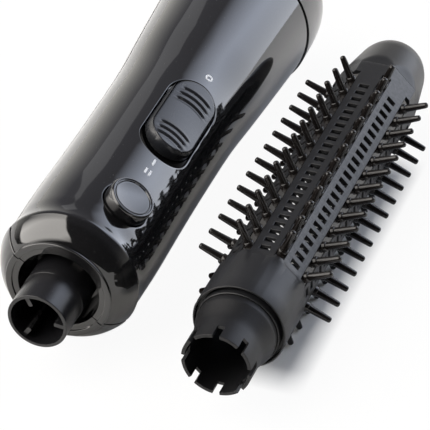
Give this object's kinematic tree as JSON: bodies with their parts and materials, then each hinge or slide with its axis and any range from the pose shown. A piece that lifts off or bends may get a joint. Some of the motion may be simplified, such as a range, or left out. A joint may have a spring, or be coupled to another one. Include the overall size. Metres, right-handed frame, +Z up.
{
  "type": "hot air brush",
  "caption": "Hot air styling handle with a power slider, release button and air spigot, lying beside its detached round bristle brush with a notched socket end.",
  "frame": {"origin": "on the resting surface, at the centre of the footprint of the handle and brush together", "axes": "+Y from the spigot end to the cord end, +X from the handle to the brush, +Z up from the surface"},
  "size_m": [0.1026, 0.1994, 0.0526],
  "materials": {
    "piano_black": "polished black moulding",
    "satin_black": "fine grained black moulding",
    "barrel_charcoal": "satin charcoal moulding",
    "bristle_black": "glossy brown-black nylon",
    "slider_grey": "satin dark plastic with gripping grooves",
    "steel": "plain steel",
    "nichrome": "resistance wire",
    "mica": "pressed mica sheet",
    "circuit_board": "coated laminate",
    "pale_nylon": "natural nylon",
    "foam": "open foam",
    "live_red": "sleeved wire",
    "neutral_blue": "sleeved wire"
  },
  "bodies": {
    "handle": {"upper_shell": "piano_black", "lower_shell": "piano_black", "inlet_cap": "piano_black", "spigot_tube": "satin_black", "slide_switch": "satin_black", "air_duct": "satin_black", "rectifier_diode_1": "satin_black", "rectifier_diode_2": "satin_black", "rectifier_diode_3": "satin_black", "rectifier_diode_4": "satin_black", "shell_screw_1": "steel", "shell_screw_2": "steel", "shell_screw_3": "steel", "shell_screw_4": "steel", "latch_pin": "steel", "motor_can": "steel", "thermostat": "steel", "heater_coil": "nichrome", "heater_sleeve": "mica", "heater_board_1": "mica", "heater_board_2": "mica", "switch_board": "circuit_board", "rectifier_board": "circuit_board", "motor_mount": "pale_nylon", "thermal_fuse": "pale_nylon", "dust_filter": "foam", "live_lead": "live_red", "neutral_lead": "neutral_blue"},
    "swivel": {"cord_gland": "satin_black", "gland_clip": "pale_nylon"},
    "slider": {"power_slider": "slider_grey", "switch_lever": "pale_nylon"},
    "button": {"release_button": "piano_black"},
    "latch": {"release_latch": "pale_nylon", "latch_spring": "steel"},
    "rotor": {"fan": "pale_nylon", "motor_shaft": "steel"},
    "brush": {"brush_barrel": "barrel_charcoal", "brush_connector": "satin_black", "tip_cap": "satin_black", "bristle_strip_1": "bristle_black", "bristle_strip_2": "bristle_black", "bristle_strip_3": "bristle_black", "bristle_strip_4": "bristle_black", "bristle_strip_5": "bristle_black", "bristle_strip_6": "bristle_black", "bristle_strip_7": "bristle_black", "bristle_strip_8": "bristle_black"}
  },
  "joints": [
    {"name": "power_slide", "type": "slide", "parent": "handle", "child": "slider", "axis": [0.0122, -0.9994, -0.0311], "range_m": [0, 0.004]},
    {"name": "release_press", "type": "slide", "parent": "handle", "child": "button", "axis": [-0.588, 0.0179, -0.8086], "range_m": [0, 0.0016], "stiffness_N_per_m": 400, "springref_m": -0.0005},
    {"name": "latch_rock", "type": "hinge", "parent": "handle", "child": "latch", "pos_m": [-0.01404, -0.0728, 0.03465], "axis": [-0.8087, -0.0281, 0.5875], "range_deg": [0, 7.8]},
    {"name": "fan_spin", "type": "hinge", "parent": "handle", "child": "rotor", "pos_m": [-0.02495, 0.05541, 0.02577], "axis": [-0.0122, 0.9994, 0.0311], "continuous": true},
    {"name": "cord_swivel", "type": "hinge", "parent": "handle", "child": "swivel", "pos_m": [-0.0254, 0.09239, 0.02692], "axis": [-0.0122, 0.9994, 0.0311], "continuous": true},
    {"name": "brush_lift", "type": "slide", "parent": "handle", "child": "brush", "axis": [0, 0, 1], "range_m": [0, 0.09]}
  ],
  "couplings": [
    {"joint": "latch_rock", "follows": "release_press", "rad_per_m": 85}
  ]
}
